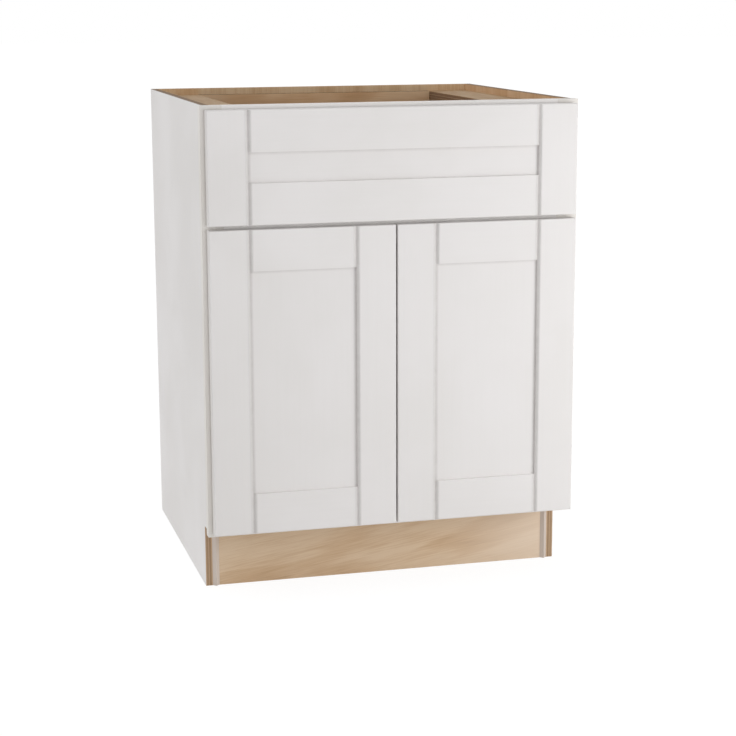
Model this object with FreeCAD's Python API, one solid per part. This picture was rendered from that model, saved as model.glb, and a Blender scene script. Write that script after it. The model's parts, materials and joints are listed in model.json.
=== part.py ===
import FreeCAD
import Part
import math
import os

# Kitchen base cabinet with a face frame, a dovetailed drawer on undermount slides and a pair of
# five-piece doors on concealed hinges. Millimetres. Z is up, the fronts face -Y, and the origin is
# at the middle of the footprint, on the floor.

# Cabinet box
cabinet_width = 685.8
cabinet_depth = 609.6
cabinet_height = 876.3
toe_height = 114.3
toe_depth = 76.2
side_thickness = 12.7
side_inset = 6.35
floor_thickness = 12.7
back_thickness = 6.35
dado_depth = 5.0
overrun = 10.0

# Face frame
frame_thickness = 19.05
frame_member_width = 38.1
middle_rail_width = 38.1
frame_tenon_length = 10.0
frame_tenon_thickness = 6.35
frame_tenon_shoulder = 7.0
frame_side_groove_depth = 4.0

# Open top
plank_width = 82.55
plank_thickness = 18.0
plank_drop = 12.7
hanging_rail_height = 82.55

# Toe space
toe_board_thickness = 12.7
toe_strip_width = 12.7
toe_strip_nose = 5.5

# Doors and drawer front
front_thickness = 19.05
front_standoff = 2.0
side_reveal = 8.0
top_reveal = 7.0
bottom_reveal = 6.7
drawer_front_height = 198.0
front_gap = 7.3
door_gap = 3.2
front_stile_width = 71.5
front_rail_width = 72.4
panel_recess = 6.35
panel_thickness = 6.35
panel_groove_depth = 9.0
panel_edge_play = 1.0
bevel_half_width = 4.5
bevel_depth = 3.0
edge_ease = 1.8

# Shelf
shelf_thickness = 15.0
shelf_height = 392.0
shelf_setback = 25.0
shelf_side_play = 1.5
pin_hole_radius = 2.5
pin_play = 0.05
pin_hole_depth = 9.0
pin_hole_pitch = 32.0
pin_holes_each_way = 2
pin_row_inset = 70.0
pin_tab_reach = 9.0
pin_tab_thickness = 1.6
pin_tab_width = 8.0

# Drawer box
box_side_thickness = 15.9
box_height = 127.0
box_rear_space = 71.85
box_side_clearance = 5.0
box_bottom_thickness = 6.35
box_bottom_recess = 13.0
box_groove_depth = 6.0
tail_count = 4
tail_slope_share = 0.14
pin_share = 0.42
drawer_screw_radius = 2.2
drawer_screw_head_radius = 4.6
drawer_screw_head_height = 2.2
drawer_screw_bite = 13.0
drawer_screw_side_share = 0.62
drawer_screw_edge = 12.0

# Undermount slides
slide_width = 44.0
slide_height = 21.0
slide_wall = 1.5
slide_gap = 0.3
slide_box_gap = 2.0
slide_cabinet_wall_height = 10.0
slide_drawer_wall_height = 9.7
slide_outer_lip = 9.0
slide_web_slot_share = 0.4
slide_foot_width = 30.0
slide_foot_reach = 10.0
bracket_wall = 2.5
bracket_grip = 18.0
bracket_plate_height = 44.0
bracket_screw_edge = 12.0
bracket_screw_bite = 4.5
clip_length = 46.0
clip_depth = 9.0
clip_lever_width = 12.0
clip_lever_drop = 3.5

# Concealed hinges, in plan: x from the door's outer edge, y from the door's face
hinge_end_distance = 88.0
outer_root_x = 35.1
outer_root_y = 18.54
outer_bend_x = 21.17
outer_bend_y = 9.56
outer_cup_x = 11.45
outer_cup_y = 11.96
inner_root_x = 35.17
inner_root_y = 11.27
inner_cup_x = 16.83
inner_cup_y = 16.45
inner_fork_near_x = 20.06
inner_fork_near_y = 14.94
inner_fork_far_x = 15.53
inner_fork_far_y = 17.72
inner_fork_half_gap = 2.12
inner_fork_half_width = 3.05
cup_centre_x = 23.3
cup_radius = 17.4
cup_bore_play = 0.1
cup_bore_depth = 12.5
cup_wall = 1.2
cup_flange_thickness = 1.0
cup_flange_length = 56.0
cup_flange_width = 20.0
link_lug_radius = 2.2
link_half_width = 1.6
hinge_pin_radius = 1.25
hinge_pin_play = 0.05
cup_pin_end_gap = 0.75
outer_link_height = 4.0
inner_link_wall = 1.6
inner_sleeve_radius = 1.9
hinge_layer_gap = 0.3
arm_wall = 1.6
arm_lug_radius = 2.9
arm_web = 1.6
plate_thickness = 2.0
plate_height = 52.0
plate_edge_play = 0.8
plate_screw_spread = 38.0

# Screws of the hinge plates and the slides
screw_radius = 2.0
screw_bite = 14.0
screw_head_radius = 3.6
screw_head_height = 1.6

# Screws, shelf pins, their holes and the round ends of the hinge's plates have this many sides
hardware_sides = 10
cup_sides = 24

# Bumpers
bumper_radius = 5.0
bumper_height = 1.7
bumper_inset = 12.0

# Places that follow from the sizes
overall_depth = cabinet_depth + front_standoff + front_thickness
back_y = overall_depth / 2
frame_front_y = back_y - cabinet_depth
frame_back_y = frame_front_y + frame_thickness
fronts_back_y = frame_front_y - front_standoff
fronts_face_y = fronts_back_y - front_thickness
back_inner_y = back_y - back_thickness
toe_face_y = frame_front_y + toe_depth
half_width = cabinet_width / 2
side_outer_x = half_width - side_inset
side_inner_x = side_outer_x - side_thickness
opening_x = half_width - frame_member_width
floor_top_z = toe_height + frame_member_width
floor_bottom_z = floor_top_z - floor_thickness
plank_top_z = cabinet_height - plank_drop
plank_bottom_z = plank_top_z - plank_thickness
plank_inner_x = side_inner_x - plank_width
drawer_front_top_z = cabinet_height - top_reveal
drawer_front_bottom_z = drawer_front_top_z - drawer_front_height
door_top_z = drawer_front_bottom_z - front_gap
door_bottom_z = toe_height + bottom_reveal
middle_rail_top_z = door_top_z + front_gap / 2 + middle_rail_width / 2
middle_rail_bottom_z = middle_rail_top_z - middle_rail_width
top_rail_bottom_z = cabinet_height - frame_member_width
front_edge_x = half_width - side_reveal
hinge_hole_radius = (hinge_pin_radius + hinge_pin_play) / math.cos(math.pi / hardware_sides)
box_outer_x = opening_x - box_side_clearance
box_inner_x = box_outer_x - box_side_thickness
box_front_y = fronts_back_y
box_back_y = back_inner_y - box_rear_space
box_floor_z = middle_rail_top_z + slide_height
box_floor_top_z = box_floor_z + box_bottom_thickness
box_bottom_z = box_floor_z - box_bottom_recess
box_top_z = box_bottom_z + box_height
slide_front_y = box_front_y + box_side_thickness + slide_gap
slide_inner_x = -box_inner_x + slide_box_gap + slide_width


def block(x0, x1, y0, y1, z0, z1):
    return Part.makeBox(x1 - x0, y1 - y0, z1 - z0, FreeCAD.Vector(x0, y0, z0))


def prism_z(points, z0, z1):
    corners = [FreeCAD.Vector(x, y, z0) for x, y in points]
    face = Part.Face(Part.makePolygon(corners + corners[:1]))
    return face.extrude(FreeCAD.Vector(0, 0, z1 - z0))


def prism_x(points, x0, x1):
    corners = [FreeCAD.Vector(x0, y, z) for y, z in points]
    face = Part.Face(Part.makePolygon(corners + corners[:1]))
    return face.extrude(FreeCAD.Vector(x1 - x0, 0, 0))


def shank(radius, start, end, sides=hardware_sides):
    """A level pin, screw or hole, with a few flat sides to keep its facets few."""
    along = end - start
    side = FreeCAD.Vector(0, 0, radius)
    turns = [FreeCAD.Rotation(along, 360 / sides * index) for index in range(sides)]
    corners = [start + turn.multVec(side) for turn in turns]
    return Part.Face(Part.makePolygon(corners + corners[:1])).extrude(along)


def upright(radius, x, y, z0, z1):
    """A truly round upright piece, such as a lug about a hinge's axis."""
    return Part.makeCylinder(radius, z1 - z0, FreeCAD.Vector(x, y, z0), FreeCAD.Vector(0, 0, 1))


def prism_y(points, y0, y1):
    corners = [FreeCAD.Vector(x, y0, z) for x, z in points]
    face = Part.Face(Part.makePolygon(corners + corners[:1]))
    return face.extrude(FreeCAD.Vector(0, y1 - y0, 0))


def half_round(place, radius, start):
    """The corners of half a turn about place, from the angle start."""
    steps = range(hardware_sides // 2 + 1)
    angles = [start + math.tau * step / hardware_sides for step in steps]
    return [(place[0] + radius * math.cos(a), place[1] + radius * math.sin(a)) for a in angles]


def bar(a, b, radius, z0, z1, square_end=False):
    """A flat link from a to b with round ends, or with a square end at b."""
    heading = math.atan2(b[1] - a[1], b[0] - a[0])
    tip = half_round(b, radius, heading - math.pi / 2)
    if square_end:
        tip = [tip[0], tip[-1]]
    return prism_z(tip + half_round(a, radius, heading + math.pi / 2), z0, z1)


def post(radius, place, z0, z1):
    """An upright pin, screw or hole, with a few flat sides to keep its facets few."""
    outline = half_round(place, radius, 0)[:-1] + half_round(place, radius, math.pi)[:-1]
    return prism_z(outline, z0, z1)


def mirrored(shape):
    return shape.mirror(FreeCAD.Vector(0, 0, 0), FreeCAD.Vector(1, 0, 0))


def save(name, *solids):
    shape = solids[0] if len(solids) == 1 else Part.makeCompound(list(solids))
    shape = shape.removeSplitter()
    if not shape.isValid():
        raise ValueError(name + " is not a valid shape")
    shape.exportStep("parts/" + name + ".step")


def save_pair(name, *solids):
    """Saves left-hand pieces and their mirror images."""
    save(name + "_left", *solids)
    save(name + "_right", *[mirrored(solid) for solid in solids])


def tenon(x_shoulder, direction, z0, z1):
    """Stub tenon on a face frame rail's end, pointing along direction."""
    x_end = x_shoulder + direction * frame_tenon_length
    y0 = frame_front_y + (frame_thickness - frame_tenon_thickness) / 2
    z_low = z0 + frame_tenon_shoulder
    z_high = z1 - frame_tenon_shoulder
    x_low = min(x_shoulder, x_end)
    return block(x_low, x_low + frame_tenon_length, y0, y0 + frame_tenon_thickness, z_low, z_high)


def face_frame():
    rails = {
        "frame_top_rail": (top_rail_bottom_z, cabinet_height),
        "frame_middle_rail": (middle_rail_bottom_z, middle_rail_top_z),
        "frame_bottom_rail": (toe_height, floor_top_z),
    }
    stile = block(-half_width, -opening_x, frame_front_y, frame_back_y, toe_height, cabinet_height)
    groove = block(-side_outer_x, -side_inner_x, frame_back_y - frame_side_groove_depth,
                   frame_back_y + overrun, toe_height - overrun, cabinet_height + overrun)
    stile = stile.cut(groove)
    for name, (z0, z1) in rails.items():
        left = tenon(-opening_x, -1, z0, z1)
        rail = block(-opening_x, opening_x, frame_front_y, frame_back_y, z0, z1)
        rail = rail.fuse([left, mirrored(left)])
        if name == "frame_middle_rail":
            hole = foot_screw_hole()
            rail = rail.cut([hole, mirrored(hole)])
        save(name, rail)
        stile = stile.cut(left)
    stile = stile.cut([plate_screw_hole(z) for z in plate_screw_heights()])
    save_pair("frame_stile", stile)


def pin_places():
    """Front and rear rows of shelf pin holes in the left side, as (y, z) places."""
    rows = (frame_back_y + pin_row_inset, back_inner_y - pin_row_inset)
    steps = range(-pin_holes_each_way, pin_holes_each_way + 1)
    return [(y, shelf_height + step * pin_hole_pitch) for y in rows for step in steps]


def side_panels():
    side = block(-side_outer_x, -side_inner_x, frame_back_y - frame_side_groove_depth, back_y,
                 0, cabinet_height)
    notch = block(-half_width, 0, frame_front_y - overrun, toe_face_y, -overrun, toe_height)
    rabbet = block(-side_outer_x + side_thickness / 2, 0, back_inner_y, back_y + overrun,
                   -overrun, cabinet_height + overrun)
    dado = block(-side_inner_x - dado_depth, 0, frame_back_y, back_inner_y,
                 floor_bottom_z, floor_top_z)
    side = side.cut([notch, rabbet, dado])
    for y, z in pin_places():
        mouth = FreeCAD.Vector(-side_inner_x + overrun, y, z)
        end = FreeCAD.Vector(-side_inner_x - pin_hole_depth, y, z)
        side = side.cut(shank(pin_hole_radius, mouth, end))
    save_pair("side_panel", side)


def shelf_and_pins():
    shelf_x = side_inner_x - shelf_side_play
    seat_z = shelf_height + pin_hole_radius
    save("shelf", block(-shelf_x, shelf_x, frame_back_y + shelf_setback, back_inner_y - shelf_side_play,
                        seat_z, seat_z + shelf_thickness))
    pins = []
    for y, z in pin_places():
        if z != shelf_height:
            continue
        shank_radius = pin_hole_radius - pin_play
        bottom = FreeCAD.Vector(-side_inner_x - pin_hole_depth + pin_play, y, z)
        pin = shank(shank_radius, bottom, FreeCAD.Vector(-side_inner_x + pin_tab_thickness, y, z))
        tab = block(-side_inner_x, -side_inner_x + pin_tab_reach, y - pin_tab_width / 2,
                    y + pin_tab_width / 2, seat_z - pin_tab_thickness, seat_z)
        foot = block(-side_inner_x, -side_inner_x + pin_tab_thickness, y - pin_tab_width / 2,
                     y + pin_tab_width / 2, z - pin_tab_width / 2, seat_z)
        pins.append(pin.fuse([tab, foot]))
    save("shelf_pins", *(pins + [mirrored(pin) for pin in pins]))


def box_panels():
    floor_x = side_inner_x + dado_depth
    save("bottom_panel", block(-floor_x, floor_x, frame_back_y, back_inner_y,
                               floor_bottom_z, floor_top_z))
    back_x = side_outer_x - side_thickness / 2
    holes = [bracket_screw_hole(x) for x in bracket_screw_places()]
    back = block(-back_x, back_x, back_inner_y, back_y, 0, cabinet_height)
    save("back_panel", back.cut(holes + [mirrored(hole) for hole in holes]))
    save_pair("top_plank", block(-side_inner_x, -plank_inner_x, frame_back_y, back_inner_y,
                                 plank_bottom_z, plank_top_z))
    save("hanging_rail", block(-plank_inner_x, plank_inner_x, back_inner_y - plank_thickness,
                               back_inner_y, plank_top_z - hanging_rail_height, plank_top_z))


def toe_kick():
    back = toe_face_y + toe_board_thickness
    inner = side_inner_x - toe_strip_width
    save("toe_board", block(-inner, inner, toe_face_y, back, 0, floor_bottom_z))
    middle = (side_inner_x + inner) / 2
    outline = [(-side_inner_x, back), (-side_inner_x, toe_face_y), (-middle, toe_face_y - toe_strip_nose)]
    outline += [(-inner, toe_face_y), (-inner, back)]
    save_pair("toe_strip", prism_z(outline, 0, floor_bottom_z))


def slab(x0, x1, z0, z1):
    """A door or drawer front blank with its front edges eased."""
    blank = block(x0, x1, fronts_face_y, fronts_back_y, z0, z1)
    front_edges = [edge for edge in blank.Edges if edge.BoundBox.YMax < fronts_face_y + edge_ease]
    return blank.makeFillet(edge_ease, front_edges)


def joint_bevel(x, z0, z1):
    """The shallow V along the joint between a stile and what it meets."""
    points = [(x - bevel_half_width, fronts_face_y), (x, fronts_face_y + bevel_depth),
              (x + bevel_half_width, fronts_face_y)]
    return prism_z(points, z0 - overrun, z1 + overrun)


def framed_front(x0, x1, z0, z1):
    """The five pieces of a door or drawer front: two stiles, two rails and a flat panel."""
    blank = slab(x0, x1, z0, z1)
    left_joint = x0 + front_stile_width
    right_joint = x1 - front_stile_width
    low_joint = z0 + front_rail_width
    high_joint = z1 - front_rail_width
    bevels = [joint_bevel(left_joint, z0, z1), joint_bevel(right_joint, z0, z1)]
    groove_y = fronts_face_y + panel_recess
    tongue_y = groove_y + panel_thickness
    ring = block(left_joint - panel_groove_depth, right_joint + panel_groove_depth, groove_y,
                 tongue_y, low_joint - panel_groove_depth, high_joint + panel_groove_depth)
    deep = (fronts_face_y - overrun, fronts_back_y + overrun)
    tall = (z0 - overrun, z1 + overrun)
    pieces = {}
    spans = {"left": (x0 - overrun, left_joint), "right": (right_joint, x1 + overrun)}
    for name, (xa, xb) in spans.items():
        slot = block(left_joint - panel_groove_depth, right_joint + panel_groove_depth, groove_y,
                     tongue_y, z0 - overrun, z1 + overrun)
        stile = blank.common(block(xa, xb, *deep, *tall))
        pieces[name] = stile.cut(bevels).cut(slot)
    heights = {"bottom": (z0, low_joint), "top": (high_joint, z1)}
    for name, (za, zb) in heights.items():
        rail = blank.common(block(left_joint, right_joint, *deep, za, zb)).cut(bevels).cut(ring)
        tongue = block(left_joint - panel_groove_depth, right_joint + panel_groove_depth,
                       groove_y, tongue_y, za, zb)
        pieces[name] = rail.fuse(tongue.cut(ring))
    edge = panel_groove_depth - panel_edge_play
    pieces["panel"] = block(left_joint - edge, right_joint + edge, groove_y, tongue_y,
                            low_joint - edge, high_joint + edge)
    return pieces


def hinge_point(x, y):
    """A place in the left hinge's plan as part coordinates."""
    return (-front_edge_x + x, fronts_face_y + y)


def hinge_heights():
    return (door_bottom_z + hinge_end_distance, door_top_z - hinge_end_distance)


def cup_bore(z):
    x, y = hinge_point(cup_centre_x, front_thickness)
    mouth = FreeCAD.Vector(x, y + overrun, z)
    return shank(cup_radius + cup_bore_play, mouth, FreeCAD.Vector(x, y - cup_bore_depth, z), cup_sides)


def inside_cup(x, distance_from_wall):
    """Half the cup's inner height at x, less a distance from the middle of its wall."""
    sideways = x - hinge_point(cup_centre_x, 0)[0]
    return math.sqrt((cup_radius - cup_wall / 2) ** 2 - sideways ** 2) - distance_from_wall


def hinge_cup(z):
    """The cup with its flange, and the two stub pins that the inner link's fork hooks on."""
    x, y = hinge_point(cup_centre_x, front_thickness)
    rim = FreeCAD.Vector(x, y + cup_flange_thickness, z)
    outside = shank(cup_radius, FreeCAD.Vector(x, y - cup_bore_depth, z), rim, cup_sides)
    end_radius = cup_flange_width / 2
    end_z = cup_flange_length / 2 - end_radius
    outline = half_round((x, z + end_z), end_radius, 0) + half_round((x, z - end_z), end_radius, math.pi)
    flange = prism_y(outline, y, y + cup_flange_thickness)
    inside_radius = (cup_radius - cup_wall) / math.cos(math.pi / cup_sides)
    inside = shank(inside_radius, FreeCAD.Vector(x, y - cup_bore_depth + cup_wall, z),
                   FreeCAD.Vector(x, y + overrun, z), cup_sides)
    hollow = outside.fuse(flange).cut(inside)
    stub = hinge_point(inner_cup_x, inner_cup_y)
    stub_start = outer_link_height / 2 + hinge_layer_gap
    stub_end = inside_cup(stub[0], 0)
    low_stub = post(hinge_pin_radius, stub, z - stub_end, z - stub_start)
    high_stub = post(hinge_pin_radius, stub, z + stub_start, z + stub_end)
    bore = hinge_point(outer_cup_x, outer_cup_y)
    bore_end = inside_cup(bore[0], 0)
    bore = post(hinge_hole_radius, bore, z - bore_end, z + bore_end)
    return hollow.fuse([low_stub, high_stub]).cut(bore)


def outer_link(z):
    """The long bent link between the inner link's plates, with a pin at each end."""
    root = hinge_point(outer_root_x, outer_root_y)
    bend = hinge_point(outer_bend_x, outer_bend_y)
    tip = hinge_point(outer_cup_x, outer_cup_y)
    low = z - outer_link_height / 2
    high = z + outer_link_height / 2
    lugs = [upright(link_lug_radius, *place, low, high) for place in (root, tip)]
    link = bar(root, bend, link_half_width, low, high)
    link = link.fuse([bar(bend, tip, link_half_width, low, high)] + lugs)
    arm_outside = arm_inside() + arm_wall
    root_pin = post(hinge_pin_radius, root, z - arm_outside, z + arm_outside)
    reach = inside_cup(tip[0], cup_pin_end_gap)
    tip_pin = post(hinge_pin_radius, tip, z - reach, z + reach)
    return link.fuse([root_pin, tip_pin])


def arm_inside():
    """Half the distance between the arm's walls."""
    return outer_link_height / 2 + hinge_layer_gap + inner_link_wall + hinge_layer_gap


def inner_link_plate(low, high):
    """One plate of the inner link. Its fork is open, so that the cup's stub can slide in it."""
    root = hinge_point(inner_root_x, inner_root_y)
    near = hinge_point(inner_fork_near_x, inner_fork_near_y)
    far = hinge_point(inner_fork_far_x, inner_fork_far_y)
    beyond = (far[0] + far[0] - near[0], far[1] + far[1] - near[1])
    prongs = bar(near, far, inner_fork_half_width, low, high, square_end=True)
    gap = bar(near, beyond, inner_fork_half_gap, low - overrun, high + overrun)
    return bar(root, near, link_lug_radius, low, high).fuse(prongs).cut(gap)


def inner_link(z):
    """Two forked plates on one pin, above and below the outer link, with a sleeve between them."""
    start = outer_link_height / 2 + hinge_layer_gap
    end = start + inner_link_wall
    arm_outside = arm_inside() + arm_wall
    root = hinge_point(inner_root_x, inner_root_y)
    pin = post(hinge_pin_radius, root, z - arm_outside, z + arm_outside)
    sleeve = upright(inner_sleeve_radius, *root, z - start, z + start)
    plates = [inner_link_plate(z - end, z - start), inner_link_plate(z + start, z + end)]
    return pin.fuse([sleeve] + plates)


def hinge_arm(z):
    """Mounting plate on the stile's inner edge, with the arm that carries both links."""
    plate_x = hinge_point(frame_member_width - side_reveal, 0)[0]
    plate = block(plate_x, plate_x + plate_thickness, frame_front_y + plate_edge_play,
                  frame_back_y - plate_edge_play, z - plate_height / 2, z + plate_height / 2)
    inside = arm_inside()
    outside = inside + arm_wall
    outer_root = hinge_point(outer_root_x, outer_root_y)
    inner_root = hinge_point(inner_root_x, inner_root_y)
    heel = (plate_x + plate_thickness + arm_lug_radius, frame_back_y - plate_edge_play - arm_lug_radius)
    web = block(plate_x + plate_thickness, plate_x + plate_thickness + arm_web,
                frame_front_y + plate_edge_play, frame_back_y - plate_edge_play, z - outside, z + outside)
    walls = []
    for low, high in ((z - outside, z - inside), (z + inside, z + outside)):
        wall = bar(outer_root, heel, arm_lug_radius, low, high)
        wall = wall.fuse(bar(inner_root, outer_root, arm_lug_radius, low, high))
        walls.append(wall)
    arm = plate.fuse([web] + walls)
    for place in (outer_root, inner_root):
        arm = arm.cut(post(hinge_hole_radius, place, z - outside - overrun, z + outside + overrun))
    for sign in (-1, 1):
        arm = arm.cut(plate_screw_hole(z + sign * plate_screw_spread / 2))
    return arm


def plate_screw_line(z):
    x = hinge_point(frame_member_width - side_reveal, 0)[0]
    y = frame_front_y + frame_thickness / 2
    return FreeCAD.Vector(x, y, z)


def plate_screw_heights():
    return [z + sign * plate_screw_spread / 2 for z in hinge_heights() for sign in (-1, 1)]


def plate_screw_hole(z):
    seat = plate_screw_line(z)
    inward = FreeCAD.Vector(overrun, 0, 0)
    bite = FreeCAD.Vector(-screw_bite, 0, 0)
    return shank(screw_radius, seat + bite, seat + inward)


def plate_screw(z):
    seat = plate_screw_line(z)
    bite = FreeCAD.Vector(-screw_bite, 0, 0)
    top = seat + FreeCAD.Vector(plate_thickness, 0, 0)
    head = shank(screw_head_radius, top, top + FreeCAD.Vector(screw_head_height, 0, 0))
    return shank(screw_radius, seat + bite, top).fuse(head)


def bumper(x, z):
    seat = FreeCAD.Vector(x, fronts_back_y, z)
    return shank(bumper_radius, seat, seat + FreeCAD.Vector(0, bumper_height, 0))


def doors():
    inner_x = -door_gap / 2
    pieces = framed_front(-front_edge_x, inner_x, door_bottom_z, door_top_z)
    for z in hinge_heights():
        pieces["left"] = pieces["left"].cut(cup_bore(z))
    bumper_x = inner_x - bumper_inset
    bumpers = [bumper(bumper_x, z) for z in (door_bottom_z + bumper_inset, door_top_z - bumper_inset)]
    groups = {
        "hinge_stile": [pieces["left"]],
        "latch_stile": [pieces["right"]],
        "top_rail": [pieces["top"]],
        "bottom_rail": [pieces["bottom"]],
        "panel": [pieces["panel"]],
        "bumpers": bumpers,
    }
    for name, solids in groups.items():
        save("left_door_" + name, *solids)
        save("right_door_" + name, *[mirrored(solid) for solid in solids])


def hinges():
    save_pair("hinge_cups", *[hinge_cup(z) for z in hinge_heights()])
    save_pair("hinge_outer_links", *[outer_link(z) for z in hinge_heights()])
    save_pair("hinge_inner_links", *[inner_link(z) for z in hinge_heights()])
    save_pair("hinge_arms", *[hinge_arm(z) for z in hinge_heights()])


def tails(y_end, inward, z0, z1):
    """Dovetails on a left side's end. They widen towards the end at y_end."""
    pitch = (z1 - z0) / tail_count
    pin_width = pitch * pin_share
    flare = box_side_thickness * tail_slope_share
    shapes = []
    for index in range(tail_count):
        low = z0 + index * pitch + pin_width / 2
        high = z0 + (index + 1) * pitch - pin_width / 2
        root = y_end + inward * box_side_thickness
        points = [(y_end, low - flare), (y_end, high + flare), (root, high), (root, low)]
        shapes.append(prism_x(points, -box_outer_x, -box_inner_x))
    return shapes


def drawer_box():
    side = block(-box_outer_x, -box_inner_x, box_front_y + box_side_thickness,
                 box_back_y - box_side_thickness, box_bottom_z, box_top_z)
    front_tails = tails(box_front_y, 1, box_bottom_z, box_top_z)
    back_tails = tails(box_back_y, -1, box_floor_top_z, box_top_z)
    heel = block(-box_outer_x, -box_inner_x, box_back_y - box_side_thickness, box_back_y,
                 box_bottom_z, box_floor_top_z)
    groove = block(-box_inner_x - box_groove_depth, box_inner_x + box_groove_depth,
                   box_front_y + box_side_thickness - box_groove_depth, box_back_y + overrun,
                   box_floor_z, box_floor_top_z)
    side = side.fuse([heel] + front_tails + back_tails).cut(groove)
    save_pair("drawer_side", side)
    right_front_tails = [mirrored(tail) for tail in front_tails]
    right_back_tails = [mirrored(tail) for tail in back_tails]
    front = block(-box_outer_x, box_outer_x, box_front_y, box_front_y + box_side_thickness,
                  box_bottom_z, box_top_z)
    front = front.cut(front_tails + right_front_tails).cut(groove)
    for x, z in drawer_screw_places():
        front = front.cut(drawer_screw_shank(x, z))
    save("drawer_box_front", front)
    back = block(-box_outer_x, box_outer_x, box_back_y - box_side_thickness, box_back_y,
                 box_floor_top_z, box_top_z)
    save("drawer_box_back", back.cut(back_tails + right_back_tails))
    floor_x = box_inner_x + box_groove_depth
    save("drawer_bottom", block(-floor_x, floor_x, box_front_y + box_side_thickness - box_groove_depth,
                                box_back_y, box_floor_z, box_floor_top_z))


def drawer_screw_places():
    x = box_inner_x * drawer_screw_side_share
    low = drawer_front_bottom_z + front_rail_width - drawer_screw_edge
    high = box_top_z - drawer_screw_edge
    return [(sign * x, z) for sign in (-1, 1) for z in (low, high)]


def drawer_screw_shank(x, z):
    tip = FreeCAD.Vector(x, box_front_y - drawer_screw_bite, z)
    return shank(drawer_screw_radius, tip, FreeCAD.Vector(x, box_front_y + box_side_thickness, z))


def drawer_screw(x, z):
    seat = FreeCAD.Vector(x, box_front_y + box_side_thickness, z)
    head = shank(drawer_screw_head_radius, seat, seat + FreeCAD.Vector(0, drawer_screw_head_height, 0))
    return drawer_screw_shank(x, z).fuse(head)


def drawer_front():
    pieces = framed_front(-front_edge_x, front_edge_x, drawer_front_bottom_z, drawer_front_top_z)
    for name in ("top", "bottom"):
        shanks = [drawer_screw_shank(x, z) for x, z in drawer_screw_places()]
        pieces[name] = pieces[name].cut(shanks)
    save("drawer_front_stile_left", pieces["left"])
    save("drawer_front_stile_right", pieces["right"])
    save("drawer_front_top_rail", pieces["top"])
    save("drawer_front_bottom_rail", pieces["bottom"])
    save("drawer_front_panel", pieces["panel"])
    save("drawer_screws", *[drawer_screw(x, z) for x, z in drawer_screw_places()])
    x = front_edge_x - bumper_inset
    places = [(sign * x, z) for sign in (-1, 1)
              for z in (drawer_front_bottom_z + bumper_inset, drawer_front_top_z - bumper_inset)]
    save("drawer_bumpers", *[bumper(x, z) for x, z in places])


def foot_screw_place():
    return (-opening_x + slide_foot_width / 2, slide_front_y - slide_foot_reach / 2)


def foot_screw_hole():
    return post(screw_radius, foot_screw_place(), middle_rail_top_z - screw_bite, middle_rail_top_z + overrun)


def foot_screw():
    place = foot_screw_place()
    top = middle_rail_top_z + slide_wall
    shaft = post(screw_radius, place, middle_rail_top_z - screw_bite, top)
    return shaft.fuse(post(screw_head_radius, place, top, top + screw_head_height))


def bracket_screw_places():
    return (-opening_x + bracket_screw_edge, slide_inner_x - bracket_screw_edge)


def bracket_screw_line(x):
    z = middle_rail_top_z - bracket_wall + bracket_plate_height - bracket_screw_edge
    return FreeCAD.Vector(x, back_inner_y - bracket_wall, z)


def bracket_screw_hole(x):
    seat = bracket_screw_line(x)
    bite = FreeCAD.Vector(0, bracket_wall + bracket_screw_bite, 0)
    return shank(screw_radius, seat - FreeCAD.Vector(0, overrun, 0), seat + bite)


def bracket_screw(x):
    seat = bracket_screw_line(x)
    bite = FreeCAD.Vector(0, bracket_wall + bracket_screw_bite, 0)
    head = shank(screw_head_radius, seat - FreeCAD.Vector(0, screw_head_height, 0), seat)
    return shank(screw_radius, seat, seat + bite).fuse(head)


def carcass_screws():
    screws = [plate_screw(z) for z in plate_screw_heights()] + [foot_screw()]
    screws += [bracket_screw(x) for x in bracket_screw_places()]
    save("carcass_screws", *(screws + [mirrored(screw) for screw in screws]))


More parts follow.
